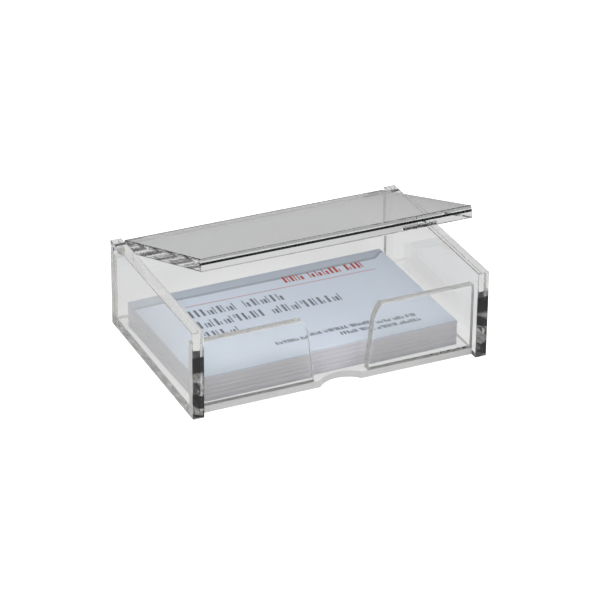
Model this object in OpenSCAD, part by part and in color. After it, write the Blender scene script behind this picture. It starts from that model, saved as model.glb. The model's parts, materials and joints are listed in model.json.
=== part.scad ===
// Clear acrylic business card box: a cemented sheet box with a thumb opening in its
// front, a lid that turns on two steel pins, and a stack of cards inside.
// Origin: centre of the footprint, on the table. +X right, +Y to the hinge, +Z up.

/* [Box] */
// Width over the two side plates
box_w = 104; // [98:0.5:120]
// Depth of the side plates, front to back
box_d = 70; // [67:0.5:84]
// Height of the side plates
box_h = 31; // [29:0.5:44]
// Thickness of the side plates
side_t = 4; // [3:0.5:5]

/* [Base and walls] */
// Thickness of the base plate
base_t = 2.5; // [2:0.1:4]
// Thickness of the front and back walls
wall_t = 3; // [2.5:0.1:3.5]
// Height of the tops of the front and back walls above the table
wall_top = 25.6; // [22:0.1:25.6]
// How far the side plates stand out in front of the front panels
front_setback = 2.7; // [1.5:0.1:3]

/* [Thumb opening] */
// How far the opening lies to the right of the box's centre
gap_x = 0.8; // [-1.5:0.1:1.5]
// Gap between the front panels where they stand on the base
gap_low_w = 19; // [12:0.2:30]
// Gap between the front panels where the flare begins
gap_mid_w = 22.6; // [16:0.2:34]
// Height at which the gap begins to flare
flare_z = 19.5; // [12:0.5:20]
// Radius of the flare at the top of the gap
flare_r = 11; // [9:0.5:16]
// Width of the shallow notch in the base's front edge
notch_w = 14.6; // [10:0.2:18]
// Depth of that notch
notch_depth = 3.4; // [2:0.1:5]

/* [Lid] */
// Thickness of the lid
lid_t = 4.2; // [3:0.1:4.2]
// Gap between each end of the lid and the side plate beside it
lid_side_gap = 0.8; // [0.4:0.1:1.5]
// Distance from the hinge pins to the lid's front edge
lid_reach = 66.6; // [62:0.1:66.6]
// Distance from the hinge pins to the lid's back edge
lid_tail = 2.3; // [2:0.1:2.3]
// How far the lid stands open, measured from level
lid_open = 20; // [5:1:80]

/* [Hinge pins] */
// Diameter of the hinge pins
pin_d = 1.6; // [1.2:0.1:2]
// Radial clearance of the pins in the lid's end bores
pin_clearance = 0.05; // [0.02:0.01:0.1]
// Length of pin inside the lid
pin_engage = 6; // [4:0.5:10]
// Distance from the side plates' back edges to the pins
pin_inset = 3; // [3:0.1:4]
// Distance from the side plates' top edges down to the pins
pin_drop = 2.1; // [2:0.1:2.1]

/* [Cards] */
// Long side of a card
card_w = 90; // [85:0.1:91]
// Short side of a card
card_d = 55; // [50:0.1:56]
// Thickness of a card
card_t = 0.36; // [0.3:0.01:0.5]
// Number of cards in the stack, with the top one
card_count = 25; // [10:1:40]
// How far the stack lies to the right of the box's centre
stack_x = -1.2; // [-1.5:0.1:1.5]
// How far the stack lies behind the box's centre
stack_y = -0.5; // [-0.8:0.1:3]
// How far the stack is turned, seen from above
stack_turn = 1; // [0:0.1:1]
// Largest slip of one card against the stack
card_slip = 0.12; // [0:0.01:0.15]
// Largest turn of one card against the stack
card_twist = 0.08; // [0:0.01:0.1]

/* [Hidden] */
front_y = -box_d / 2;
back_y = box_d / 2;
inner_w = box_w - 2 * side_t;
panel_y = front_y + front_setback;
lid_w = inner_w - 2 * lid_side_gap;
pin_y = back_y - pin_inset;
pin_z = box_h - pin_drop;
pin_l = side_t + lid_side_gap + pin_engage;
// The bores in the lid are a little deeper than the pins reach
bore_spare = 0.3;
// Cutters run this far past the faces they cut
past = 1;
// Steps round the flare, and facets round a pin and the notch
flare_steps = 10;
pin_fn = 48;
notch_fn = 120;
// Golden angle: it spreads the cards' slips and turns without a pattern
spread = 137.5;

acrylic = [0.86, 0.91, 0.92, 0.4];
steel = "silver";
paper = "aliceblue";

function card_name(i) = str("card_", i < 10 ? "0" : "", i);

// Lies between the side plates and carries the other walls
module base() {
    notch_r = (pow(notch_w / 2, 2) + pow(notch_depth, 2)) / (2 * notch_depth);
    color(acrylic)
        difference() {
            translate([-inner_w / 2, panel_y, 0])
                cube([inner_w, back_y - panel_y, base_t]);
            translate([gap_x, panel_y + notch_depth - notch_r, -past])
                cylinder(r = notch_r, h = base_t + 2 * past, $fn = notch_fn);
        }
}

// Side plate, with the through bore that holds its hinge pin; hand is -1 left, 1 right
module side_plate(hand) {
    color(acrylic)
        difference() {
            translate([hand * (box_w - side_t) / 2 - side_t / 2, front_y, 0])
                cube([side_t, box_d, box_h]);
            translate([hand * (box_w / 2 - side_t - past), pin_y, pin_z])
                rotate([0, hand * 90, 0])
                    cylinder(d = pin_d, h = side_t + 2 * past, $fn = pin_fn);
        }
}

module back_panel() {
    color(acrylic)
        translate([-inner_w / 2, back_y - wall_t, base_t])
            cube([inner_w, wall_t, wall_top - base_t]);
}

// Inner edge of the right front panel, seen from the front and moved right by shift: a
// straight slanted edge that turns outwards on an arc, tangent to it, up to the top edge
function flare_points(shift) =
    let (
        low = [gap_low_w / 2 + shift, base_t],
        mid = [gap_mid_w / 2 + shift, flare_z],
        lean = atan2(mid[0] - low[0], mid[1] - low[1]),
        end = asin((wall_top - flare_z) / flare_r + sin(lean)),
        centre = [mid[0] + flare_r * cos(lean), mid[1] - flare_r * sin(lean)]
    )
    concat(
        [low],
        [
            for (k = [0 : flare_steps])
                let (a = lean + (end - lean) * k / flare_steps)
                [centre[0] - flare_r * cos(a), centre[1] + flare_r * sin(a)]
        ]
    );

// Drawn as the right panel; the left one is its mirror image
module front_panel(hand) {
    corners = [[inner_w / 2, wall_top], [inner_w / 2, base_t]];
    color(acrylic)
        mirror([hand < 0 ? 1 : 0, 0, 0])
            translate([0, panel_y + wall_t, 0])
                rotate([90, 0, 0])
                    linear_extrude(height = wall_t)
                        polygon(concat(flare_points(hand * gap_x), corners));
}

// Drawn level about the pins' axis, then raised to the open angle
module lid() {
    bore_depth = pin_engage + bore_spare;
    color(acrylic)
        translate([0, pin_y, pin_z])
            rotate([-lid_open, 0, 0])
                difference() {
                    translate([-lid_w / 2, -lid_reach, -lid_t / 2])
                        cube([lid_w, lid_reach + lid_tail, lid_t]);
                    for (hand = [-1, 1])
                        translate([hand * (lid_w / 2 - bore_depth), 0, 0])
                            rotate([0, hand * 90, 0])
                                cylinder(d = pin_d + 2 * pin_clearance, h = bore_depth + past, $fn = pin_fn);
                }
}

// Pressed into the side plate, flush with its outer face
module hinge_pin(hand) {
    color(steel)
        translate([hand * (box_w / 2 - pin_l), pin_y, pin_z])
            rotate([0, hand * 90, 0])
                cylinder(d = pin_d, h = pin_l, $fn = pin_fn);
}

// Card number i, counted from the base
module card(i) {
    slip_x = card_slip * sin(spread * i);
    slip_y = card_slip * cos(spread * 2 * i);
    twist = card_twist * sin(spread * 3 * i);
    color(paper)
        translate([stack_x + slip_x, stack_y + slip_y, base_t + (i - 1) * card_t])
            rotate([0, 0, stack_turn + twist])
                translate([-card_w / 2, -card_d / 2, 0])
                    cube([card_w, card_d, card_t]);
}

base();
side_plate(-1);  // left_side
side_plate(1);  // right_side
back_panel();
front_panel(-1);  // front_panel_left
front_panel(1);  // front_panel_right
lid();
hinge_pin(-1);  // hinge_pin_left
hinge_pin(1);  // hinge_pin_right
for (i = [1 : card_count - 1])
    card(i);
card(card_count);  // top_card
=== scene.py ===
"""Looks of the clear acrylic card box: polished sheet edges, cement seams, steel pins, printed cards."""
import json
import math
import random

import bmesh
import bpy
from mathutils import Matrix, Vector

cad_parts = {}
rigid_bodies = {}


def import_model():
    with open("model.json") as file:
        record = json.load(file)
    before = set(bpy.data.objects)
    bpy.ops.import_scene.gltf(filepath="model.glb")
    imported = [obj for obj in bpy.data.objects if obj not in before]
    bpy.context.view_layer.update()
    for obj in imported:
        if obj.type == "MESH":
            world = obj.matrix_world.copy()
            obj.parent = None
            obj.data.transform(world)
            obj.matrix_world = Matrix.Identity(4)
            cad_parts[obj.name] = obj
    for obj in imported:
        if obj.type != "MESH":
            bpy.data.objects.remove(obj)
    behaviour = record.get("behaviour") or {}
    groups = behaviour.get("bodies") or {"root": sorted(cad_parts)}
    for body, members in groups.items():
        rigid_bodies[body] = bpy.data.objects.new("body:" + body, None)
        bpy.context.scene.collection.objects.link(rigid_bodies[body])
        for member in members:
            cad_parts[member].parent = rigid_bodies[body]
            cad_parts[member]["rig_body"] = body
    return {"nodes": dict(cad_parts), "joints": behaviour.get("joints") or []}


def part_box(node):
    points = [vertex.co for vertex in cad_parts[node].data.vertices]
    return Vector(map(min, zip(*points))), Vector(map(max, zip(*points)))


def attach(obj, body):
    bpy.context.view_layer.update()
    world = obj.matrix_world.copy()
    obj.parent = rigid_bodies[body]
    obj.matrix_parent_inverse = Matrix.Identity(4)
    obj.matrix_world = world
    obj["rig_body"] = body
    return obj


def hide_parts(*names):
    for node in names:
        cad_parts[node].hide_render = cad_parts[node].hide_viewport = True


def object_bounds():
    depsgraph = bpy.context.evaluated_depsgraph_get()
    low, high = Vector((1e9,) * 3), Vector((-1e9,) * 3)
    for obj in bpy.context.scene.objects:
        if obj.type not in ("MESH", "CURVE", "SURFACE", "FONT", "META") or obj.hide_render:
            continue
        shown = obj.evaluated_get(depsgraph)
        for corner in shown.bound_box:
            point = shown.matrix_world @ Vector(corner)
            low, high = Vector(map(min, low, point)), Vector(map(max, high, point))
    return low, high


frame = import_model()
cad_low, cad_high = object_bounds()

MM = 0.001

# Camera: it looks from the front left and above, on a long lens
CAMERA_AZIMUTH = -24.75
CAMERA_ELEVATION = 28.21
CAMERA_ROLL = 0.54
CAMERA_AIM = (-0.00027, -0.00236, 0.0158)
CAMERA_DISTANCE = 0.9743
CAMERA_LENS = 178.6
SENSOR = 36.0
CLIP_START = 0.05
CLIP_END = 50

# Acrylic sheet: its cast faces, its polished edges, and painted dark lines in those edges, standing for
# reflections of dark surroundings
ACRYLIC_IOR = 1.491
SHEET_TINT = (0.994, 0.998, 0.996, 1)
EDGE_TINT = (0.975, 0.982, 0.972, 1)
PAINTED_DARK_TINT = (0.0008, 0.001, 0.0012, 1)

# Rounding of the plates' free edges
ARRIS = 0.2 * MM
LID_ARRIS = 0.4 * MM
ARRIS_STEPS = 3
# Edges that turn by more than this count as sharp
SHARP_ANGLE = math.radians(30)
# Width of a cemented joint's grey outline
SEAM_RIM = 0.14 * MM
# Faces closer than this touch
TOUCH = 0.02 * MM

# Front edges of the side plates: sawn below SAWN_TOP, and painted dark below DARK_TOP, a painted reflection
# of dark surroundings
SAWN_TOP = 14 * MM
DARK_TOP = 22 * MM
FRONT_EDGE = cad_low[1] + 0.5 * MM

# Lid: it stands open by LID_OPEN about the pins. A painted dark line, standing for a reflection, runs along
# its front edge, LINE_DROP below its top, and painted dark bars, standing for reflected stripes, cross its
# ends, folded over FOLD_DROP below its top.
LID_OPEN = math.radians(20)
LID_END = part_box("lid")[1].x
LINE_DROP = 1.7 * MM
LINE_HALF = 0.4 * MM
FOLD_DROP = 1.1 * MM
BAR_PITCH = 14 * MM
BAR_LEAN = -6.5
FINE_BARS = 2.3

# Hinge pins: steel, a little thinner than their bores
PIN_SLACK = 0.015 * MM
PIN_CHAMFER = 0.15 * MM
PIN_FACETS = 48
# The lid's bores are wider than the pins all round, and deeper
BORE_CLEARANCE = 0.05 * MM
BORE_SPARE = 0.3 * MM
# Cutters run this far past the faces they cut
PAST = 1 * MM

BASE_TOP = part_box("base")[1].z
BOX_PLATES = ["base", "left_side", "right_side", "back_panel", "front_panel_left", "front_panel_right"]

# Painted shade: card edges in front of STACK_FRONT are painted greyer in the thumb opening, to the first
# width below each side of its middle, and fade to plain over the second
GAP_MIDDLE = (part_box("front_panel_left")[1].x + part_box("front_panel_right")[0].x) / 2
GAP_SHADE_HALF = 7.5 * MM
GAP_SHADE_FADE = 3 * MM
STACK_FRONT = -24 * MM

# A painted shadow along the top card's back edge: a grey band, starting the first distance below from
# its front edge, and up to the step below farther between two distances from its left end
SHADOW_BAND_FRONT = 48.8 * MM
SHADOW_BAND_STEP = 3 * MM
SHADOW_STEP_START = 85 * MM
SHADOW_STEP_END = 89.5 * MM
SHADOW_BAND_TONE = 0.58
CARD_LENGTH = 90 * MM


# ---------------------------------------------------------------- node helpers
def new_material(name):
    material = bpy.data.materials.new(name)
    material.use_nodes = True
    material.node_tree.nodes.clear()
    return material, material.node_tree


def add(tree, kind, settings=None, **inputs):
    """Adds a node. An input goes by its name, with underscores for spaces, or by i and its number.
    A socket given as its value is linked."""
    made = tree.nodes.new(kind)
    for key, value in (settings or {}).items():
        setattr(made, key, value)
    for key, value in inputs.items():
        by_number = key[0] == "i" and key[1:].isdigit()
        socket = made.inputs[int(key[1:]) if by_number else key.replace("_", " ")]
        if isinstance(value, bpy.types.NodeSocket):
            tree.links.new(value, socket)
        else:
            socket.default_value = value
    return made


def maths(tree, operation, a, b=0.0, clamp=False):
    return add(tree, "ShaderNodeMath", {"operation": operation, "use_clamp": clamp}, i0=a, i1=b).outputs[0]


def times(tree, a, b):
    return maths(tree, "MULTIPLY", a, b)


def plus(tree, a, b):
    return maths(tree, "ADD", a, b)


def minus(tree, a, b):
    return maths(tree, "SUBTRACT", a, b)


def ramp(tree, value, low, high, out_low=0.0, out_high=1.0):
    """A smooth step from out_low to out_high as value goes from low to high."""
    made = add(tree, "ShaderNodeMapRange", {"interpolation_type": "SMOOTHSTEP"},
               Value=value, From_Min=low, From_Max=high, To_Min=out_low, To_Max=out_high)
    return made.outputs["Result"]


def mixed(tree, factor, a, b):
    """A value that goes from a to b as factor goes from 0 to 1."""
    return add(tree, "ShaderNodeMix", i0=factor, i2=a, i3=b).outputs[0]


def tinted(tree, factor, a, b, blend="MIX"):
    """A colour that goes from a to b as factor goes from 0 to 1."""
    settings = {"data_type": "RGBA", "blend_type": blend}
    return add(tree, "ShaderNodeMix", settings, i0=factor, i6=a, i7=b).outputs[2]


def layered(tree, factor, a, b):
    """A shader that goes from a to b as factor goes from 0 to 1."""
    return add(tree, "ShaderNodeMixShader", Fac=factor, i1=a, i2=b).outputs[0]


def plain(tree, kind, colour):
    """A Diffuse, Transparent or Translucent shader."""
    return add(tree, "ShaderNodeBsdf" + kind, Color=colour).outputs[0]


def principled(tree, **inputs):
    return add(tree, "ShaderNodeBsdfPrincipled", **inputs).outputs[0]


def show(tree, shader):
    add(tree, "ShaderNodeOutputMaterial", Surface=shader)


def noise(tree, vector, scale, detail=2.0, roughness=0.5):
    made = add(tree, "ShaderNodeTexNoise", Vector=vector, Scale=scale, Detail=detail, Roughness=roughness)
    return made.outputs["Fac"]


def bumpy(tree, height, strength, distance):
    made = add(tree, "ShaderNodeBump", Strength=strength, Distance=distance, Height=height)
    return made.outputs["Normal"]


def stretched(tree, vector, by):
    return add(tree, "ShaderNodeMapping", Vector=vector, Scale=by).outputs["Vector"]


def rotated(tree, vector, by):
    return add(tree, "ShaderNodeMapping", Vector=vector, Rotation=by).outputs["Vector"]


def axes(tree, vector):
    return add(tree, "ShaderNodeSeparateXYZ", Vector=vector).outputs


def place(tree):
    """The point in metres, in the piece's own frame."""
    return add(tree, "ShaderNodeTexCoord").outputs["Object"]


# ---------------------------------------------------------------- clear sheet
def sheet_acrylic():
    """The cast faces of the sheet: clear, with the faintest unevenness and wear."""
    material, tree = new_material("acrylic_sheet")
    at = place(tree)
    wear = noise(tree, at, scale=220, detail=3)
    cast = noise(tree, at, scale=35, detail=1)
    rough = ramp(tree, wear, 0.45, 0.75, 0.0, 0.012)
    normal = bumpy(tree, cast, 0.25, 0.02 * MM)
    show(tree, principled(tree, Base_Color=SHEET_TINT, Roughness=rough, IOR=ACRYLIC_IOR,
                          Transmission_Weight=1.0, Normal=normal))
    return material


def side_waves(tree, xyz):
    """How wavy a side plate's edges are: sawn low down on the front, flat elsewhere."""
    low = ramp(tree, xyz["Z"], SAWN_TOP, SAWN_TOP + 4 * MM, 0.6, 0.1)
    front = ramp(tree, xyz["Y"], FRONT_EDGE, FRONT_EDGE + 0.5 * MM, 1.0, 0.004)
    return times(tree, low, front)


def side_painted_reflections(tree, xyz, grain):
    """The front of a side plate is painted dark below DARK_TOP, a painted reflection of dark surroundings,
    but for its lighter saw marks.
    """
    dark = ramp(tree, xyz["Z"], DARK_TOP, DARK_TOP + 0.5 * MM, 1.0, 0.0)
    sawn = ramp(tree, xyz["Z"], SAWN_TOP, SAWN_TOP + 3 * MM, 1.0, 0.0)
    marks = times(tree, ramp(tree, grain, 0.43, 0.51), sawn)
    dark = times(tree, dark, minus(tree, 1.0, marks))
    return times(tree, dark, maths(tree, "LESS_THAN", xyz["Y"], FRONT_EDGE))


def lid_waves(tree, xyz):
    """How wavy the lid's edges are: more along its front and back than at its two ends."""
    out = maths(tree, "ABSOLUTE", xyz["X"])
    return ramp(tree, out, LID_END - 0.8 * MM, LID_END - 0.4 * MM, 1.0, 0.6)


def lid_painted_reflections(tree, xyz, grain):
    """Painted dark reflections: lines along the lid's front edge, below its top and at each arris, and bars
    across its ends.
    """
    level = Matrix.Rotation(LID_OPEN, 3, "X")
    points = [level @ v.co for v in frame["nodes"]["lid"].data.vertices]
    top, bottom = max(p.z for p in points), min(p.z for p in points)
    front = min(p.y for p in points) + 1 * MM
    off = maths(tree, "ABSOLUTE", minus(tree, xyz["Z"], top - LINE_DROP))
    line = ramp(tree, off, LINE_HALF + 0.05 * MM, LINE_HALF - 0.05 * MM)
    upper = ramp(tree, xyz["Z"], top - 0.35 * MM, top - 0.1 * MM, 0.0, 0.9)
    lower = ramp(tree, xyz["Z"], bottom + 0.6 * MM, bottom + 0.2 * MM, 0.0, 0.4)
    line = maths(tree, "MAXIMUM", maths(tree, "MAXIMUM", line, upper), lower)
    line = times(tree, line, maths(tree, "LESS_THAN", xyz["Y"], front))

    fold = maths(tree, "ABSOLUTE", minus(tree, xyz["Z"], top - FOLD_DROP))
    along = plus(tree, xyz["Y"], times(tree, fold, BAR_LEAN))
    phase = plus(tree, times(tree, along, 2 * math.pi / BAR_PITCH), times(tree, grain, 0.7))
    bars = ramp(tree, maths(tree, "SINE", phase), 0.2, 0.6, 0.0, 0.96)
    fine = maths(tree, "SINE", times(tree, phase, FINE_BARS))
    bars = maths(tree, "MAXIMUM", bars, ramp(tree, fine, 0.7, 0.95, 0.0, 0.7))
    ends = maths(tree, "GREATER_THAN", maths(tree, "ABSOLUTE", xyz["X"]), LID_END - 0.2 * MM)
    return maths(tree, "MAXIMUM", line, times(tree, bars, ends))


def edge_acrylic(name, squeeze, depth, rough, clear=1.0, scale=240, tilt=0.0, slant=0.0,
                 waviness=None, lines=None):
    """Sawn and polished edges. tilt levels a plate that stands at an angle about X. The saw marks are
    stretched by squeeze, in a frame turned by slant about Y, and depth is their height. waviness says
    where they are strong, and lines where the edge is painted dark, for reflections of dark surroundings."""
    material, tree = new_material(name)
    level = rotated(tree, place(tree), (tilt, 0.0, 0.0))
    xyz = axes(tree, level)
    along = stretched(tree, rotated(tree, level, (0.0, slant, 0.0)), squeeze)
    grain = noise(tree, along, scale, detail=1)
    waves = ramp(tree, grain, 0.42, 0.62)
    if waviness:
        waves = times(tree, minus(tree, waves, 0.5), waviness(tree, xyz))
    ripple = noise(tree, along, scale=900, detail=1)
    height = plus(tree, waves, times(tree, ripple, 0.06))
    # Painted dark reflections: where the edge is painted dark, its colour goes to the dark tint
    colour = tinted(tree, lines(tree, xyz, grain), EDGE_TINT, PAINTED_DARK_TINT) if lines else EDGE_TINT
    normal = bumpy(tree, height, 1.0, depth)
    show(tree, principled(tree, Base_Color=colour, Roughness=ramp(tree, ripple, 0.4, 0.8, *rough),
                          IOR=ACRYLIC_IOR, Transmission_Weight=clear, Normal=normal))
    return material


# ---------------------------------------------------------------- cement
def cement():
    """A solvent-cemented joint: light passes straight on, but for a few trapped bubbles."""
    material, tree = new_material("cement_seam")
    specks = ramp(tree, noise(tree, place(tree), scale=1500), 0.68, 0.72)
    clear = plain(tree, "Transparent", (0.99, 0.99, 0.985, 1))
    bubble = plain(tree, "Transparent", (0.35, 0.36, 0.35, 1))
    show(tree, layered(tree, specks, clear, bubble))
    return material


def streaked_cement():
    """The joints of a side plate: milky, with grey streaks and trapped bubbles against the base."""
    material, tree = new_material("cement_streaked")
    at = place(tree)
    low = ramp(tree, axes(tree, at)["Z"], BASE_TOP, BASE_TOP + 0.1 * MM, 1.0, 0.0)
    streaks = ramp(tree, noise(tree, stretched(tree, at, (1.0, 0.2, 0.8)), scale=900), 0.38, 0.62)
    bubbles = ramp(tree, noise(tree, stretched(tree, at, (1.0, 0.5, 1.0)), scale=1100), 0.63, 0.68)
    clear = plain(tree, "Transparent", (0.95, 0.95, 0.94, 1))
    milk = plain(tree, "Diffuse", (0.93, 0.93, 0.91, 1))
    grey = plain(tree, "Diffuse", (0.74, 0.74, 0.72, 1))
    dark = plain(tree, "Diffuse", (0.16, 0.16, 0.15, 1))
    joint = layered(tree, times(tree, streaks, low), milk, grey)
    joint = layered(tree, times(tree, bubbles, low), joint, dark)
    show(tree, layered(tree, 0.85, clear, joint))
    return material


def seam_rim():
    """The outline of a cemented joint, where the cement stops short: a thin grey line."""
    material, tree = new_material("cement_rim")
    patchy = ramp(tree, noise(tree, place(tree), scale=300), 0.4, 0.6)
    pale = plain(tree, "Transparent", (0.86, 0.87, 0.85, 1))
    dark = plain(tree, "Transparent", (0.74, 0.75, 0.74, 1))
    show(tree, layered(tree, patchy, pale, dark))
    return material


def glue():
    """The thicker, milky joint under the front panels, with dark specks towards the right."""
    material, tree = new_material("cement_milky")
    at = place(tree)
    haze = noise(tree, stretched(tree, at, (0.4, 1.0, 1.0)), scale=500, detail=3)
    right = ramp(tree, axes(tree, at)["X"], 20 * MM, 40 * MM)
    specks = noise(tree, stretched(tree, at, (1.0, 0.4, 1.0)), scale=800)
    specks = ramp(tree, specks, 0.52, 0.6, 0.0, 0.7)
    clear = plain(tree, "Transparent", (0.99, 0.99, 0.985, 1))
    white = plain(tree, "Diffuse", (0.97, 0.97, 0.95, 1))
    glow = plain(tree, "Translucent", (0.99, 0.99, 0.98, 1))
    dark = plain(tree, "Transparent", (0.2, 0.2, 0.19, 1))
    milk = layered(tree, 0.6, white, glow)
    joint = layered(tree, ramp(tree, haze, 0.3, 0.7, 0.8, 1.0), clear, milk)
    show(tree, layered(tree, times(tree, specks, right), joint, dark))
    return material


# ---------------------------------------------------------------- steel, card and ink
def pin_steel():
    """Drawn wire: fine lines run along the pin."""
    material, tree = new_material("pin_steel")
    lines = noise(tree, stretched(tree, place(tree), (1.0, 14.0, 14.0)), scale=700, detail=3)
    show(tree, principled(tree, Base_Color=(0.2, 0.2, 0.2, 1), Metallic=1.0,
                          Roughness=ramp(tree, lines, 0.3, 0.7, 0.18, 0.38),
                          Normal=bumpy(tree, lines, 0.3, 0.01 * MM)))
    return material


def gap_painted_shade(tree, xyz, on_edge):
    """Where the card edges get painted shade: at the front of the stack, in the thumb opening."""
    off = maths(tree, "ABSOLUTE", minus(tree, xyz["X"], GAP_MIDDLE))
    middle = ramp(tree, off, GAP_SHADE_HALF, GAP_SHADE_HALF + GAP_SHADE_FADE, 1.0, 0.0)
    front = ramp(tree, xyz["Y"], STACK_FRONT, STACK_FRONT - 2 * MM)
    return times(tree, times(tree, middle, front), on_edge)


def painted_card_shade(tree, at, cloud, band):
    """Painted shade on the printed card: a painted shadow band along its back edge, and painted shade
    making it a little darker to the right.
    """
    corner, along, deep = band
    out = add(tree, "ShaderNodeVectorMath", {"operation": "SUBTRACT"}, i0=at, i1=corner).outputs[0]
    dot = {"operation": "DOT_PRODUCT"}
    u = add(tree, "ShaderNodeVectorMath", dot, i0=out, i1=along).outputs["Value"]
    v = add(tree, "ShaderNodeVectorMath", dot, i0=out, i1=deep).outputs["Value"]
    wobble = times(tree, minus(tree, cloud, 0.5), 0.8 * MM)
    v = minus(tree, plus(tree, v, wobble), ramp(tree, u, SHADOW_STEP_START, SHADOW_STEP_END, 0.0, SHADOW_BAND_STEP))
    # Painted shade: the card's colour is made lighter at its left end and darker at its right end
    across = ramp(tree, u, 0.0, CARD_LENGTH, 1.07, 0.95)
    # Painted shadow band: darkest at its front edge, a little lighter towards the card's back edge
    tone = ramp(tree, v, SHADOW_BAND_FRONT, SHADOW_BAND_FRONT + 0.4 * MM, 1.0, SHADOW_BAND_TONE)
    tone = plus(tree, tone, ramp(tree, v, SHADOW_BAND_FRONT + 1.0 * MM, SHADOW_BAND_FRONT + 2.0 * MM, 0.0, 0.2))
    tone = times(tree, tone, across)
    return add(tree, "ShaderNodeCombineColor", i0=tone, i1=tone, i2=tone).outputs[0]


def paper(name, colour, darker, band=None):
    """Card stock: fine fibres, and on the cut edges streaks that differ from card to card, partly the
    cards' own colour and partly painted shade for the dark gaps between cards. band is the card's corner
    and its two unit directions, for a card with print and a painted shadow band."""
    material, tree = new_material(name)
    at = place(tree)
    fibre = noise(tree, at, scale=2600, detail=4, roughness=0.7)
    cloud = noise(tree, at, scale=60)
    edge_streaks_and_gap_shade = noise(tree, stretched(tree, at, (12.0, 12.0, 2800.0)), scale=1.0)
    facing = axes(tree, add(tree, "ShaderNodeNewGeometry").outputs["Normal"])
    on_edge = ramp(tree, maths(tree, "ABSOLUTE", facing["Z"]), 0.9, 0.5)
    shade = plus(tree, times(tree, fibre, 0.3), times(tree, cloud, 0.25))
    # Edge streaks: partly each card's own colour, partly painted shade standing for the dark gaps between
    # cards
    shade = plus(tree, shade, times(tree, on_edge, times(tree, edge_streaks_and_gap_shade, 1.1)))
    mix = tinted(tree, maths(tree, "MULTIPLY", shade, 0.5, True), colour, darker)
    # Painted shade: the card edges in the thumb opening are mixed towards the darker colour
    mix = tinted(tree, times(tree, gap_painted_shade(tree, axes(tree, at), on_edge), 0.75), mix, darker)
    if band:
        # Painted shadow band and painted shade to the right, multiplied into the printed card's colour
        mix = tinted(tree, 1.0, mix, painted_card_shade(tree, at, cloud, band), "MULTIPLY")
    show(tree, principled(tree, Base_Color=mix, Roughness=0.62, IOR=1.45, Specular_IOR_Level=0.35,
                          Normal=bumpy(tree, fibre, 0.35, 0.01 * MM)))
    return material


def ink(name, colour):
    """Printed ink, worn paler in specks."""
    material, tree = new_material(name)
    grain = noise(tree, place(tree), scale=3000, detail=3, roughness=0.7)
    worn = tuple(c + 0.5 * (1 - c) for c in colour[:3]) + (1,)
    mix = tinted(tree, ramp(tree, grain, 0.45, 0.85, 0, 0.45), colour, worn)
    show(tree, principled(tree, Base_Color=mix, Roughness=0.4))
    return material


def card_corners(node):
    """The card's front left, front right and back left corners, and its lowest and highest z."""
    # This small share of the other coordinate picks one corner of a card that lies nearly square
    tie = 1e-3
    points = [v.co for v in frame["nodes"][node].data.vertices]
    front_left = min(points, key=lambda p: p.y + p.x * tie)
    front_right = max(points, key=lambda p: p.x - p.y * tie)
    back_left = min(points, key=lambda p: p.x - p.y * tie)
    return front_left, front_right, back_left, min(p.z for p in points), max(p.z for p in points)


def card_frame(node):
    """Where the card lies: its front left corner, its two directions with their lengths, and its
    lowest and highest z."""
    front_left, front_right, back_left, z_low, z_high = card_corners(node)
    along = Vector((front_right.x - front_left.x, front_right.y - front_left.y, 0))
    deep = Vector((back_left.x - front_left.x, back_left.y - front_left.y, 0))
    return Vector((front_left.x, front_left.y, 0)), along, deep, z_low, z_high


def top_card_axes():
    corner, along, deep, _, _ = card_frame("top_card")
    return corner, along.normalized(), deep.normalized()


SHEET, EDGE, SEAM, GLUE, RIM, STREAKED = range(6)
SHARED_FACES = [cement(), glue(), seam_rim(), streaked_cement()]
SHEET_FACE = sheet_acrylic()
EDGES = {
    "side": edge_acrylic("acrylic_edge_side", (0.25, 1.0, 1.0), 0.12 * MM, (0.0, 0.015), scale=330,
                         slant=-0.45, waviness=side_waves, lines=side_painted_reflections),
    "base": edge_acrylic("acrylic_edge_base", (1.0, 1.0, 0.3), 0.006 * MM, (0.3, 0.45), clear=0.5,
                         slant=0.5),
    "panel": edge_acrylic("acrylic_edge_panel", (1.0, 0.12, 1.0), 0.002 * MM, (0.06, 0.12), clear=0.78),
    "lid": edge_acrylic("acrylic_edge_lid", (1.0, 1.0, 0.3), 0.006 * MM, (0.0, 0.02), tilt=LID_OPEN,
                        waviness=lid_waves, lines=lid_painted_reflections),
}


def acrylic(kind):
    return [SHEET_FACE, EDGES[kind]] + SHARED_FACES


STEEL = pin_steel()
PAPER = paper("card_stock", (0.88, 0.875, 0.90, 1), (0.56, 0.55, 0.60, 1))
TOP_PAPER = paper("printed_card", (0.70, 0.77, 0.87, 1), (0.55, 0.58, 0.66, 1), top_card_axes())
INKS = [ink("ink_red", (0.50, 0.07, 0.05, 1)), ink("ink_grey", (0.19, 0.21, 0.245, 1)),
        ink("ink_dark", (0.02, 0.025, 0.05, 1)), ink("ink_rule", (0.55, 0.16, 0.17, 1))]


# ---------------------------------------------------------------- mesh helpers
def prism(outline, low, high, to_world):
    """A closed prism: the outline's (a, b) points at c = low and c = high, placed by to_world(a, b, c)."""
    bm = bmesh.new()
    rings = [[bm.verts.new(to_world(a, b, c)) for a, b in outline] for c in (low, high)]
    count = len(outline)
    bm.faces.new(rings[0][::-1])
    bm.faces.new(rings[1])
    for i in range(count):
        j = (i + 1) % count
        bm.faces.new([rings[0][i], rings[0][j], rings[1][j], rings[1][i]])
    bmesh.ops.recalc_face_normals(bm, faces=bm.faces)
    return bm


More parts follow.
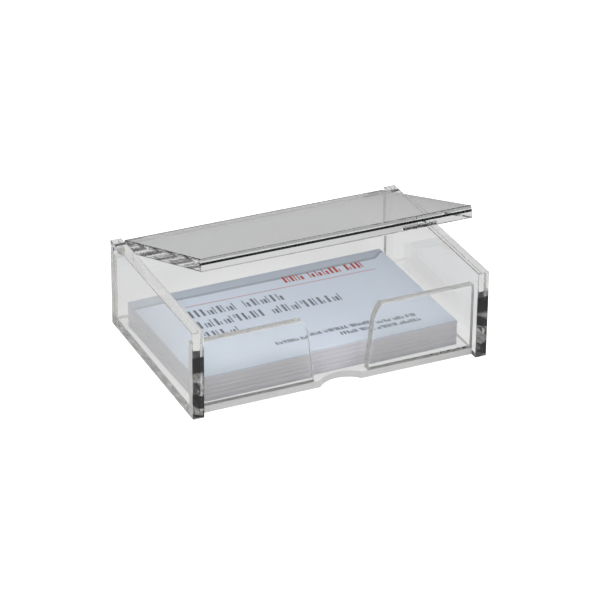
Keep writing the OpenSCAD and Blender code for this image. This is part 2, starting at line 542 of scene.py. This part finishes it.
def turned(profile, start):
    """A closed solid turned about the line along X through start, from (x, radius) points whose two
    ends are at radius 0."""
    bm = bmesh.new()
    rings = []
    for x, radius in profile[1:-1]:
        ring = []
        for k in range(PIN_FACETS):
            angle = 2 * math.pi * k / PIN_FACETS
            offset = Vector((x, radius * math.cos(angle), radius * math.sin(angle)))
            ring.append(bm.verts.new(start + offset))
        rings.append(ring)
    for a, b in zip(rings, rings[1:]):
        for k in range(PIN_FACETS):
            n = (k + 1) % PIN_FACETS
            bm.faces.new([a[k], a[n], b[n], b[k]])
    for ring in (rings[0], rings[-1]):
        bm.faces.new(ring)
    bmesh.ops.recalc_face_normals(bm, faces=bm.faces)
    return bm


def as_object(name, bm, materials):
    mesh = bpy.data.meshes.new(name)
    bm.to_mesh(mesh)
    bm.free()
    made = bpy.data.objects.new(name, mesh)
    for material in materials:
        mesh.materials.append(material)
    bpy.context.scene.collection.objects.link(made)
    return made


def stand_for(piece, node):
    """The piece is shown in place of the CAD node, and rides on the node's body."""
    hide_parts(node)
    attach(piece, frame["nodes"][node]["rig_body"])
    return piece


def bore(piece, radius, start, end):
    """Cuts a round bore along X at the hinge; its wall takes the polished edge's material."""
    length = end - start
    profile = [(0, 0), (0, radius), (length, radius), (length, 0)]
    cutter_bm = turned(profile, Vector((start, HINGE.y, HINGE.z)))
    for face in cutter_bm.faces:
        face.material_index = EDGE
    cutter = as_object("cutter", cutter_bm, list(piece.data.materials))
    cut = piece.modifiers.new("bore", "BOOLEAN")
    cut.operation = "DIFFERENCE"
    cut.solver = "EXACT"
    cut.object = cutter
    cut.material_mode = "INDEX"
    bpy.context.view_layer.update()
    graph = bpy.context.evaluated_depsgraph_get()
    result = bpy.data.meshes.new_from_object(piece.evaluated_get(graph))
    piece.modifiers.clear()
    old = piece.data
    piece.data = result
    bpy.data.meshes.remove(old)
    bpy.data.objects.remove(cutter)


# ---------------------------------------------------------------- cemented plates
def joints_of(node):
    """Flat patches where this plate is cemented to the others: the axis across each, and its low and
    high corners."""
    found = []
    low_a, high_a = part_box(node)
    for other in BOX_PLATES:
        if other == node:
            continue
        low_b, high_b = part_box(other)
        low = Vector(map(max, low_a, low_b))
        high = Vector(map(min, high_a, high_b))
        size = high - low
        flat = [k for k in range(3) if abs(size[k]) < TOUCH]
        if min(size) > -TOUCH and len(flat) == 1:
            found.append((flat[0], low, high))
    return found


def in_patch(point, patch):
    _, low, high = patch
    return all(low[k] - TOUCH < point[k] < high[k] + TOUCH for k in range(3))


def square_to(face, axis, least=0.99):
    """Whether the face lies across the axis."""
    return abs(face.normal[axis]) > least


def unit(k, length=1.0):
    """A vector of this length along axis k."""
    return Vector([length if k == axis else 0.0 for axis in range(3)])


def round_free_edges(bm, patches, arris):
    free = []
    for edge in bm.edges:
        middle = (edge.verts[0].co + edge.verts[1].co) / 2
        if edge.calc_face_angle(0) > SHARP_ANGLE and not any(in_patch(middle, p) for p in patches):
            free.append(edge)
    bmesh.ops.bevel(bm, geom=free, offset=arris, offset_type="OFFSET", segments=ARRIS_STEPS, profile=0.5,
                    affect="EDGES", clamp_overlap=True)


def cut_round_patches(bm, patches):
    """Divides the faces that hold cemented patches along the patches' outlines."""
    for axis, low, high in patches:
        for k in range(3):
            if k == axis:
                continue
            for limit in (low[k], high[k]):
                flat = [f for f in bm.faces
                        if square_to(f, axis) and abs(f.calc_center_median()[axis] - low[axis]) < TOUCH]
                edges = dict.fromkeys(e for f in flat for e in f.edges)
                corners = dict.fromkeys(v for f in flat for v in f.verts)
                bmesh.ops.bisect_plane(bm, geom=flat + list(edges) + list(corners), dist=TOUCH * 0.1,
                                       plane_co=unit(k, limit), plane_no=unit(k))
    bm.normal_update()


def joint_face(node, patch):
    """What a cemented face of the plate looks like."""
    axis, _, high = patch
    if node.endswith("_side"):
        return STREAKED
    under_front_panel = node == "base" and axis == 2 and high.y < 0
    return GLUE if under_front_panel else SEAM


def rim_seams(bm):
    """Gives each clear seam a narrow rim along its outline."""
    seams = [f for f in bm.faces if f.material_index == SEAM]
    for face in seams:
        face.material_index = RIM
    inner = bmesh.ops.inset_region(bm, faces=seams, thickness=SEAM_RIM, use_boundary=True,
                                   use_even_offset=True)
    rims = set(inner["faces"])
    for face in seams:
        if face.is_valid and face not in rims:
            face.material_index = SEAM


def finish_plate(bm, node, thick_axis, arris=ARRIS):
    """Rounds the free edges, and tells apart cast faces, polished edges and cement seams with rims."""
    patches = joints_of(node) if node in BOX_PLATES else []
    round_free_edges(bm, patches, arris)
    cut_round_patches(bm, patches)
    for face in bm.faces:
        face.material_index = SHEET if square_to(face, thick_axis, 0.999) else EDGE
        middle = face.calc_center_median()
        for patch in patches:
            if square_to(face, patch[0]) and in_patch(middle, patch):
                face.material_index = joint_face(node, patch)
    rim_seams(bm)


def rectangle(low, high):
    """A box's outline in Y and Z."""
    return [(low.y, low.z), (high.y, low.z), (high.y, high.z), (low.y, high.z)]


def outline_of(node, a, b, level, axis):
    """A plate's CAD outline in axes a and b, in order, where its face across the axis is at level."""
    mesh = frame["nodes"][node].data
    points = {}
    boundary = set()

    def key(v):
        return (round(v.co[a] / TOUCH), round(v.co[b] / TOUCH))

    for polygon in mesh.polygons:
        corners = [mesh.vertices[i] for i in polygon.vertices]
        if any(abs(v.co[axis] - level) >= TOUCH for v in corners):
            continue
        for v, w in zip(corners, corners[1:] + corners[:1]):
            p, q = key(v), key(w)
            points[p] = (v.co[a], v.co[b])
            if (q, p) in boundary:
                boundary.discard((q, p))
            else:
                boundary.add((p, q))
    edges = dict(boundary)
    start = min(edges)
    ring = [start]
    while edges[ring[-1]] != start:
        ring.append(edges[ring[-1]])
    return [points[p] for p in ring]


def hinge_point():
    joint = next(j for j in frame["joints"] if j["name"] == "lid_hinge")
    return Vector(joint["pos_m"])


HINGE = hinge_point()
pin_low, pin_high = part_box("hinge_pin_left")
PIN_RADIUS = (pin_high.z - pin_low.z) / 2


def make_side(node):
    low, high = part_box(node)
    bm = prism(rectangle(low, high), low.x, high.x, lambda a, b, c: (c, a, b))
    finish_plate(bm, node, 0)
    piece = as_object(node + "_plate", bm, acrylic("side"))
    bore(piece, PIN_RADIUS, low.x - PAST, high.x + PAST)
    stand_for(piece, node)


def make_base():
    low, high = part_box("base")
    outline = outline_of("base", 0, 1, high.z, 2)
    bm = prism(outline, low.z, high.z, lambda a, b, c: (a, b, c))
    finish_plate(bm, "base", 2)
    stand_for(as_object("base_plate", bm, acrylic("base")), "base")


def make_panel(node):
    low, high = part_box(node)
    outline = outline_of(node, 0, 2, low.y, 1)
    bm = prism(outline, low.y, high.y, lambda a, b, c: (a, c, b))
    finish_plate(bm, node, 1)
    stand_for(as_object(node + "_plate", bm, acrylic("panel")), node)


def make_lid():
    """The plate is measured level, turned back about the pins, and made at its open angle."""
    opened = Matrix.Translation(HINGE) @ Matrix.Rotation(-LID_OPEN, 4, "X") @ Matrix.Translation(-HINGE)
    level = opened.inverted()
    points = [level @ v.co for v in frame["nodes"]["lid"].data.vertices]
    low = Vector([min(p[k] for p in points) for k in range(3)])
    high = Vector([max(p[k] for p in points) for k in range(3)])
    bm = prism(rectangle(low, high), low.x, high.x, lambda a, b, c: (c, a, b))
    finish_plate(bm, "lid", 2, LID_ARRIS)
    bmesh.ops.transform(bm, matrix=opened, verts=bm.verts)
    piece = as_object("lid_plate", bm, acrylic("lid"))
    bore_end = pin_high.x + BORE_SPARE
    for start, end in ((low.x - PAST, bore_end), (-bore_end, high.x + PAST)):
        bore(piece, PIN_RADIUS + BORE_CLEARANCE, start, end)
    stand_for(piece, "lid")


def make_pin(node):
    low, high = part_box(node)
    radius = PIN_RADIUS - PIN_SLACK
    length = high.x - low.x
    profile = [(0, 0), (0, radius - PIN_CHAMFER), (PIN_CHAMFER, radius), (length - PIN_CHAMFER, radius),
               (length, radius - PIN_CHAMFER), (length, 0)]
    piece = as_object(node + "_steel", turned(profile, Vector((low.x, HINGE.y, HINGE.z))), [STEEL])
    stand_for(piece, node)


make_base()
for name in ("left_side", "right_side"):
    make_side(name)
for name in ("back_panel", "front_panel_left", "front_panel_right"):
    make_panel(name)
make_lid()
for name in ("hinge_pin_left", "hinge_pin_right"):
    make_pin(name)


# ---------------------------------------------------------------- cards
CARD_NODES = sorted(n for n in frame["nodes"] if n.startswith("card_"))
# Each card waves up and down within this depth of its top
CARD_WAVE = 0.035 * MM
# The waves start anywhere in about one full turn
WAVE_START = 6.28
STEPS_X, STEPS_Y = 12, 8
# First seed of the plain cards, and the printed card's
CARD_SEED = 100
PRINT_SEED = 27
# A card may be cut smaller by one of these shares at each side, and thinner by one of these in mm
CARD_INSETS = (0.0, 0.0, 0.0006, 0.0012)
CARD_LIFTS = (0.0, 0.0, 0.02, 0.09)


def warp(draw):
    """How far one card waves up and down: a smooth function of (u, v), between 0 and 1."""
    a, b, c = draw.uniform(0, WAVE_START), draw.uniform(0, WAVE_START), draw.uniform(0, WAVE_START)

    def height(u, v):
        wave = 0.25 * math.sin(2.2 * u + a) + 0.15 * math.sin(3.1 * v + b) + 0.1 * math.sin(4 * (u + v) + c)
        return 0.5 + wave

    return height


def card_slab(node, draw, inset, lift):
    """A closed slab in the card's place, smaller by the share inset at each side and thinner by lift.
    It comes with what add_mark needs to lie on it."""
    corner, along, deep, z_low, z_high = card_frame(node)
    wave = warp(draw)
    thick = (z_high - z_low) - lift - CARD_WAVE
    bm = bmesh.new()

    def top_at(u, v):
        return z_high - CARD_WAVE * (1 - wave(u, v))

    grids = []
    for drop in (thick, 0.0):
        grid = []
        for i in range(STEPS_X + 1):
            row = []
            for j in range(STEPS_Y + 1):
                u = inset + (1 - 2 * inset) * i / STEPS_X
                v = inset + (1 - 2 * inset) * j / STEPS_Y
                flat = corner + along * u + deep * v
                row.append(bm.verts.new((flat.x, flat.y, top_at(u, v) - drop)))
            grid.append(row)
        grids.append(grid)
    for index, grid in enumerate(grids):
        for i in range(STEPS_X):
            for j in range(STEPS_Y):
                ring = [grid[i][j], grid[i + 1][j], grid[i + 1][j + 1], grid[i][j + 1]]
                bm.faces.new(ring if index else ring[::-1])
    rim = [(i, 0) for i in range(STEPS_X)] + [(STEPS_X, j) for j in range(STEPS_Y)]
    rim += [(i, STEPS_Y) for i in range(STEPS_X, 0, -1)] + [(0, j) for j in range(STEPS_Y, 0, -1)]
    for (i, j), (k, n) in zip(rim, rim[1:] + rim[:1]):
        bm.faces.new([grids[0][i][j], grids[0][k][n], grids[1][k][n], grids[1][i][j]])
    bmesh.ops.recalc_face_normals(bm, faces=bm.faces)
    return bm, (corner, along, deep, top_at)


# The print is in millimetres from the card's front left corner, turned a little about PRINT_PIVOT
PRINT_PIVOT = (45.0, 27.5)
PRINT_TURN = math.radians(-1)
INK_DEPTH = 0.01 * MM
INK_PROUD = 0.012 * MM
# A mark longer than this is made in steps, to follow the card's waves
MARK_STEP = 8
RED, GREY, DARK, RULE = 1, 2, 3, 4

# Filler for a letter's place: separate upright strokes, each with its left, width, low and high ends
GLYPHS = [
    ((0.0, 0.9, 0.0, 1.0), (1.45, 0.4, 0.0, 1.0)),
    ((0.0, 0.9, 0.0, 1.0), (1.4, 0.4, 0.0, 0.45)),
    ((0.0, 0.4, 0.0, 1.0), (0.95, 0.9, 0.0, 0.62)),
    ((0.0, 0.9, 0.0, 1.0),),
    ((0.0, 0.4, 0.5, 1.0), (0.9, 0.9, 0.0, 1.0)),
    ((0.0, 0.5, 0.0, 0.62), (1.0, 0.9, 0.0, 0.62), (2.35, 0.4, 0.0, 1.0)),
]


def on_print(u, v):
    """The place (u, v) of the print, in millimetres along and across the card."""
    du, dv = u - PRINT_PIVOT[0], v - PRINT_PIVOT[1]
    cosine, sine = math.cos(PRINT_TURN), math.sin(PRINT_TURN)
    return PRINT_PIVOT[0] + du * cosine - dv * sine, PRINT_PIVOT[1] + du * sine + dv * cosine


def add_mark(bm, where, left, right, low, high, slot):
    """One printed mark: a closed block a hair proud of the card."""
    corner, along, deep, top_at = where
    wide, tall = along.length / MM, deep.length / MM
    steps = max(1, math.ceil((right - left) / MARK_STEP))
    columns = []
    for k in range(steps + 1):
        u = left + (right - left) * k / steps
        column = []
        for v in (low, high):
            x, y = on_print(u, v)
            flat = corner + along * (x / wide) + deep * (y / tall)
            z = top_at(x / wide, y / tall)
            column.append([bm.verts.new((flat.x, flat.y, z + d)) for d in (-INK_DEPTH, INK_PROUD)])
        columns.append(column)
    faces = []
    for a, b in zip(columns, columns[1:]):
        faces.append(bm.faces.new([a[0][1], b[0][1], b[1][1], a[1][1]]))
        faces.append(bm.faces.new([a[0][0], a[1][0], b[1][0], b[0][0]]))
        faces.append(bm.faces.new([a[0][0], b[0][0], b[0][1], a[0][1]]))
        faces.append(bm.faces.new([a[1][0], a[1][1], b[1][1], b[1][0]]))
    for column, flip in ((columns[0], False), (columns[-1], True)):
        ring = [column[0][0], column[0][1], column[1][1], column[1][0]]
        faces.append(bm.faces.new(ring[::-1] if flip else ring))
    for face in faces:
        face.material_index = slot


def mark_row(bm, where, draw, left, right, low, tall, slot, size, space, word):
    """A row of groups of plain strokes: filler that stands where lettering would. word is the least
    and the most glyphs in a group."""
    u = left
    run = 0
    length = draw.randint(*word)
    while u < right:
        glyph = draw.choice(GLYPHS)
        end = u + size * max(start + width for start, width, _, _ in glyph)
        if end > right:
            break
        for start, width, foot, head in glyph:
            at = u + size * start
            add_mark(bm, where, at, at + size * width, low + tall * foot, low + tall * head, slot)
        u = end + space
        run += 1
        if run >= length:
            u += 2 * space
            run, length = 0, draw.randint(*word)


def make_top_card():
    """The print: a thin rule with a red row over it, three grey rows under it, and two small dark rows."""
    draw = random.Random(PRINT_SEED)
    bm, where = card_slab("top_card", draw, 0, 0)
    add_mark(bm, where, 12.5, 82, 42.9, 43.2, RULE)
    mark_row(bm, where, draw, 50, 82, 45.8, 4.2, RED, size=1.0, space=0.75, word=(3, 5))
    for right, low in ((47, 35.3), (62.5, 27.6), (24, 20.2)):
        mark_row(bm, where, draw, 11, right, low, 4.8, GREY, size=1.0, space=1.15, word=(6, 9))
    for left, low in ((30, 9.2), (52, 5.7)):
        mark_row(bm, where, draw, left, 81, low, 2.0, DARK, size=0.5, space=0.32, word=(4, 8))
    piece = as_object("top_card_print", bm, [TOP_PAPER] + INKS)
    stand_for(piece, "top_card")


def make_card(node, index):
    draw = random.Random(CARD_SEED + index)
    inset = draw.choice(CARD_INSETS)
    lift = draw.choice(CARD_LIFTS) * MM
    bm, _ = card_slab(node, draw, inset, lift)
    stand_for(as_object(node + "_stock", bm, [PAPER]), node)


for number, name in enumerate(CARD_NODES):
    make_card(name, number)
make_top_card()


# ---------------------------------------------------------------- studio
FLOOR_DROP = 0.1 * MM
FLOOR_HALF = 4.0
FLOOR_ALBEDO = 0.85
FLOOR_GLOW = 0.7
# The floor's brightness seen through the sheet: under the box, beside it, and away from it.
# It changes between these distances from the middle of the box.
BESIDE_START, BESIDE_END = 0.045, 0.065
AWAY_START, AWAY_END = 0.085, 0.13
GLOW_UNDER = 0.79
GLOW_NEAR = 0.72
GLOW_FRONT = 0.86
GLOW_FAR = 0.41

# The studio the clear sheet mirrors: a soft light overhead, dark behind the box, a grey room in front
# Each part fades in between two heights, in degrees above the floor.
OVERHEAD = 1.1
OVERHEAD_LOW, OVERHEAD_HIGH = 41, 50
ROOM_DARK = 0.03
ROOM_FRONT = 0.74
ROOM_LOW, ROOM_HIGH = 17, 28
# What lights the paper: the same studio with its walls' fill light
FILL_LEFT = 1.12
FILL_RIGHT = 0.82
FILL_OVERHEAD = 1.7
FILL_LOW, FILL_HIGH = 35, 55
FILL_FRONT = 0.98
FILL_BEHIND = 0.7
BACKDROP = 1.0


def path_mask(tree):
    """Sockets: 1 for rays straight from the camera, and 1 for rays that have met only sheet or steel."""
    path = add(tree, "ShaderNodeLightPath").outputs
    unscattered = maths(tree, "LESS_THAN", path["Diffuse Depth"], 0.5)
    mirrored = maths(tree, "GREATER_THAN", path["Glossy Depth"], 0.5)
    passed = maths(tree, "MAXIMUM", path["Is Transmission Ray"], mirrored)
    return path["Is Camera Ray"], times(tree, unscattered, passed)


def make_floor():
    """A plain white floor. Seen through the sheet it shades off to grey round the box, as under a soft
    overhead light."""
    material, tree = new_material("studio_floor")
    camera_ray, clear_ray = path_mask(tree)
    at = place(tree)
    distance = add(tree, "ShaderNodeVectorMath", {"operation": "LENGTH"}, i0=at).outputs["Value"]
    beside = ramp(tree, axes(tree, at)["Y"], 0.02, -0.04, GLOW_NEAR, GLOW_FRONT)
    near = mixed(tree, ramp(tree, distance, BESIDE_START, BESIDE_END), GLOW_UNDER, beside)
    shade = mixed(tree, ramp(tree, distance, AWAY_START, AWAY_END), near, GLOW_FAR)
    matte = plain(tree, "Diffuse", (FLOOR_ALBEDO,) * 3 + (1,))
    bright = add(tree, "ShaderNodeEmission", Strength=times(tree, camera_ray, FLOOR_GLOW)).outputs[0]
    direct = add(tree, "ShaderNodeAddShader", i0=matte, i1=bright).outputs[0]
    through = add(tree, "ShaderNodeEmission", Strength=shade).outputs[0]
    show(tree, layered(tree, clear_ray, direct, through))
    bm = bmesh.new()
    corners = [(-1, -1), (1, -1), (1, 1), (-1, 1)]
    bm.faces.new([bm.verts.new((x * FLOOR_HALF, y * FLOOR_HALF, -FLOOR_DROP)) for x, y in corners])
    floor = as_object("studio_floor", bm, [material])


def make_world():
    """The sky is one studio to clear sheet and steel, another to paper, and plain white to the camera."""
    world = bpy.data.worlds.new("studio")
    bpy.context.scene.world = world
    world.use_nodes = True
    tree = world.node_tree
    tree.nodes.clear()
    camera_ray, clear_ray = path_mask(tree)
    xyz = axes(tree, add(tree, "ShaderNodeTexCoord").outputs["Generated"])
    height = maths(tree, "DEGREES", maths(tree, "ARCSINE", xyz["Z"]))
    front = ramp(tree, xyz["Y"], 0.15, -0.15)
    overhead = ramp(tree, height, OVERHEAD_LOW, OVERHEAD_HIGH, 0.0, OVERHEAD)
    room = times(tree, front, ramp(tree, height, ROOM_LOW, ROOM_HIGH, 0.0, ROOM_FRONT))
    studio = plus(tree, maths(tree, "MAXIMUM", overhead, room), ROOM_DARK)
    walls = ramp(tree, xyz["Y"], 0.5, -0.5, FILL_BEHIND, FILL_FRONT)
    fill = maths(tree, "MAXIMUM", ramp(tree, height, FILL_LOW, FILL_HIGH, 0.0, FILL_OVERHEAD), walls)
    fill = times(tree, fill, ramp(tree, xyz["X"], -0.8, 0.8, FILL_LEFT, FILL_RIGHT))
    scattered = minus(tree, 1.0, maths(tree, "ADD", camera_ray, clear_ray, True))
    strength = plus(tree, times(tree, camera_ray, BACKDROP), times(tree, clear_ray, studio))
    strength = plus(tree, strength, times(tree, scattered, fill))
    background = add(tree, "ShaderNodeBackground", Color=(1, 1, 1, 1), Strength=strength)
    add(tree, "ShaderNodeOutputWorld", Surface=background.outputs[0])


def make_camera():
    data = bpy.data.cameras.new("camera")
    data.lens = CAMERA_LENS
    data.sensor_width = SENSOR
    data.clip_start = CLIP_START
    data.clip_end = CLIP_END
    camera = bpy.data.objects.new("camera", data)
    bpy.context.scene.collection.objects.link(camera)
    azimuth, elevation = math.radians(CAMERA_AZIMUTH), math.radians(CAMERA_ELEVATION)
    back = Vector((math.sin(azimuth) * math.cos(elevation), -math.cos(azimuth) * math.cos(elevation),
                   math.sin(elevation)))
    turn = (-back).to_track_quat("-Z", "Y").to_matrix() @ Matrix.Rotation(math.radians(CAMERA_ROLL), 3, "Z")
    camera.matrix_world = Matrix.Translation(Vector(CAMERA_AIM) + back * CAMERA_DISTANCE) @ turn.to_4x4()
    bpy.context.scene.camera = camera


def set_light_paths():
    """Clear sheet needs many bounces, or its edges go black."""
    scene = bpy.context.scene
    scene.view_settings.view_transform = "Standard"
    scene.view_settings.look = "None"
    cycles = scene.cycles
    cycles.max_bounces = 40
    cycles.glossy_bounces = 32
    cycles.transmission_bounces = 32
    cycles.transparent_max_bounces = 48
    cycles.diffuse_bounces = 5


make_camera()
make_floor()
make_world()
set_light_paths()
